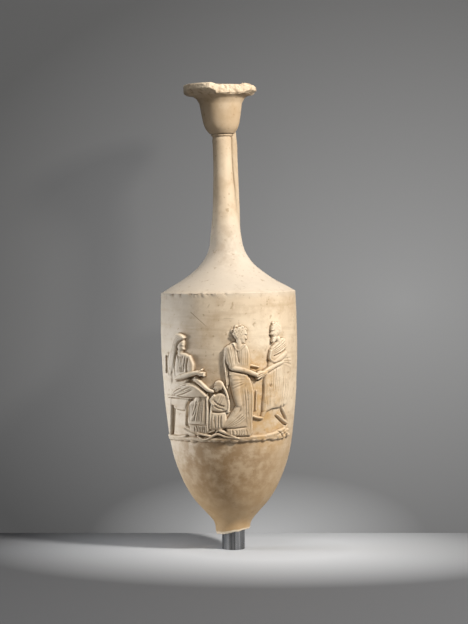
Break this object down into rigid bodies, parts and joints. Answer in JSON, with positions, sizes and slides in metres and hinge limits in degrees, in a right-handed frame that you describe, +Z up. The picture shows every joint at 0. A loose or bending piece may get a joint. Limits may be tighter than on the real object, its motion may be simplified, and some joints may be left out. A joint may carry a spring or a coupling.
{
  "type": "marble funerary lekythos on a steel support post",
  "caption": "Tall slender oil-flask grave marker in marble, carved with a low relief farewell scene, broken off at the stem and held on a plain steel post.",
  "frame": {"origin": "centre of the post's flat foot, on the floor", "axes": "+Z up along the post, +X to the viewer's right, and the carved frieze faces -Y with the handle behind the neck"},
  "size_m": [0.4188, 0.4355, 1.4245],
  "materials": {
    "marble": "matte",
    "post_steel": "satin"
  },
  "bodies": {
    "root": {"lekythos": "marble", "support_post": "post_steel"}
  },
  "joints": []
}
